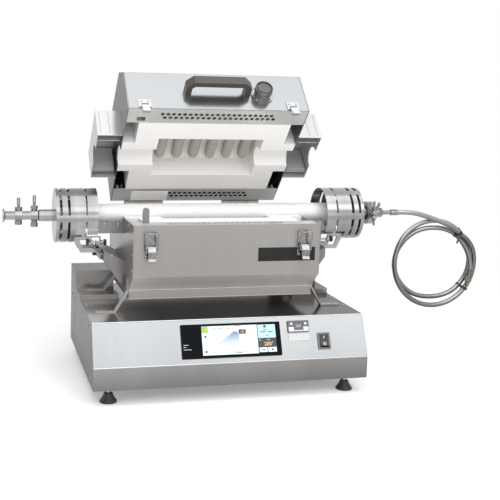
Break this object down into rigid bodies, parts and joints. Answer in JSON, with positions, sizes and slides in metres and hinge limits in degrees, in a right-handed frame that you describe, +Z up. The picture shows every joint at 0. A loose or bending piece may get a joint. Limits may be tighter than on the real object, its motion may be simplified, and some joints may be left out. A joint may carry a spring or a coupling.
{
  "type": "tube furnace",
  "caption": "Hinged laboratory tube furnace on a control base, with an open lid, a ceramic work tube, slotted end guards, gas fittings and a flexible metal hose.",
  "frame": {"origin": "point on the floor straight below the middle of the work tube's axis, which is the centre of the footprint with the lid open", "axes": "+X to the right along the work tube, +Y to the rear, +Z up"},
  "size_m": [1.165, 0.4859, 0.6872],
  "materials": {
    "brushed_sheet": "satin",
    "zinc_plate": "matte",
    "foot_rubber": "matte",
    "bright_steel": "polished",
    "black_plastic": "matte",
    "display_glass": "gloss",
    "grey_plastic": "satin",
    "white_plastic": "gloss",
    "heatsink": "matte",
    "body_sheet": "satin",
    "rim_sheet": "satin",
    "insulation": "matte",
    "rod_ceramic": "matte",
    "bracket_steel": "satin",
    "black_knob": "satin",
    "tube_ceramic": "satin",
    "polished_sheet": "polished",
    "turned_steel": "polished",
    "cast_clamp": "satin",
    "dark_zinc": "satin",
    "lid_sheet": "satin",
    "handle_plastic": "satin",
    "hose_braid": "satin",
    "hose_turns": "satin",
    "tie_plastic": "satin",
    "hose_brass": "satin"
  },
  "bodies": {
    "root": {"base_shell": "brushed_sheet", "base_steps": "brushed_sheet", "base_floor_plate": "zinc_plate", "foot_pads": "foot_rubber", "foot_studs": "bright_steel", "display_housing": "black_plastic", "display_glass": "display_glass", "limiter_case": "grey_plastic", "rocker_frame": "black_plastic", "power_inlet": "black_plastic", "relay_heatsink": "heatsink", "body_shell": "body_sheet", "body_ends": "body_sheet", "body_rim": "rim_sheet", "body_insulation": "insulation", "body_heating_rods": "rod_ceramic", "leg_brackets": "bracket_steel", "end_trays": "body_sheet", "tube_brackets": "bracket_steel", "cradle_left": "bracket_steel", "cradle_right": "bracket_steel", "latch_plate_left": "bright_steel", "latch_plate_right": "bright_steel", "interlock_tongue": "bright_steel", "hinge_leaves": "bracket_steel", "hinge_pins": "bright_steel", "work_tube": "tube_ceramic", "guard_left": "polished_sheet", "guard_right": "polished_sheet", "flange_left": "turned_steel", "flange_right": "turned_steel", "gas_pipe": "turned_steel", "gas_fittings": "turned_steel", "clamp_ring": "cast_clamp", "clamp_bolt": "bright_steel", "hose_adapter": "turned_steel", "hose_lead": "hose_braid", "hose_coil": "hose_turns", "cable_ties": "tie_plastic", "hose_end_fitting": "hose_brass"},
    "lid": {"lid_shell": "lid_sheet", "lid_ends": "lid_sheet", "lid_rim": "rim_sheet", "lid_insulation": "insulation", "lid_heating_rods": "rod_ceramic", "lid_pockets": "lid_sheet", "lid_handle": "handle_plastic", "vent_cap": "turned_steel", "lid_keepers": "bright_steel", "lid_hinge_leaves": "bracket_steel"},
    "lever_left": {"latch_lever_left": "bright_steel"},
    "lever_right": {"latch_lever_right": "bright_steel"},
    "bail_left": {"latch_bail_left": "bright_steel"},
    "bail_right": {"latch_bail_right": "bright_steel"},
    "rocker": {"rocker_switch": "black_plastic"},
    "button_left": {"limiter_button_left": "white_plastic"},
    "button_right": {"limiter_button_right": "white_plastic"},
    "wing_nut": {"wing_nut": "dark_zinc"},
    "thumb_screw_left": {"thumb_screw_left": "black_knob"},
    "thumb_screw_right": {"thumb_screw_right": "black_knob"}
  },
  "joints": [
    {"name": "lid_hinge", "type": "hinge", "parent": "root", "child": "lid", "pos_m": [0, 0.181, 0.371], "axis": [1, 0, 0], "range_deg": [0, 44]},
    {"name": "latch_left", "type": "hinge", "parent": "root", "child": "lever_left", "pos_m": [-0.171, -0.177, 0.318], "axis": [-1, 0, 0], "range_deg": [0, 130]},
    {"name": "bail_left_pivot", "type": "hinge", "parent": "lever_left", "child": "bail_left", "pos_m": [-0.171, -0.181, 0.309], "axis": [1, 0, 0], "range_deg": [0, 130]},
    {"name": "latch_right", "type": "hinge", "parent": "root", "child": "lever_right", "pos_m": [0.171, -0.177, 0.318], "axis": [-1, 0, 0], "range_deg": [0, 130]},
    {"name": "bail_right_pivot", "type": "hinge", "parent": "lever_right", "child": "bail_right", "pos_m": [0.171, -0.181, 0.309], "axis": [1, 0, 0], "range_deg": [0, 130]},
    {"name": "rocker_tilt", "type": "hinge", "parent": "root", "child": "rocker", "pos_m": [0.203, -0.22418, 0.11468], "axis": [1, 0, 0], "range_deg": [0, 16]},
    {"name": "button_left_travel", "type": "slide", "parent": "root", "child": "button_left", "axis": [0, 0.9147, -0.4042], "range_m": [0, 0.001], "stiffness_N_per_m": 400},
    {"name": "button_right_travel", "type": "slide", "parent": "root", "child": "button_right", "axis": [0, 0.9147, -0.4042], "range_m": [0, 0.001], "stiffness_N_per_m": 400},
    {"name": "wing_nut_turn", "type": "hinge", "parent": "root", "child": "wing_nut", "pos_m": [0.396, -0.035, 0.375], "axis": [0, 0, 1], "continuous": true},
    {"name": "thumb_screw_left_turn", "type": "hinge", "parent": "root", "child": "thumb_screw_left", "pos_m": [-0.268, 0, 0.2825], "axis": [1, 0, 0], "continuous": true},
    {"name": "thumb_screw_right_turn", "type": "hinge", "parent": "root", "child": "thumb_screw_right", "pos_m": [0.268, 0, 0.2825], "axis": [1, 0, 0], "continuous": true}
  ],
  "couplings": [
    {"joint": "bail_left_pivot", "follows": "latch_left", "ratio": 1},
    {"joint": "bail_right_pivot", "follows": "latch_right", "ratio": 1}
  ]
}
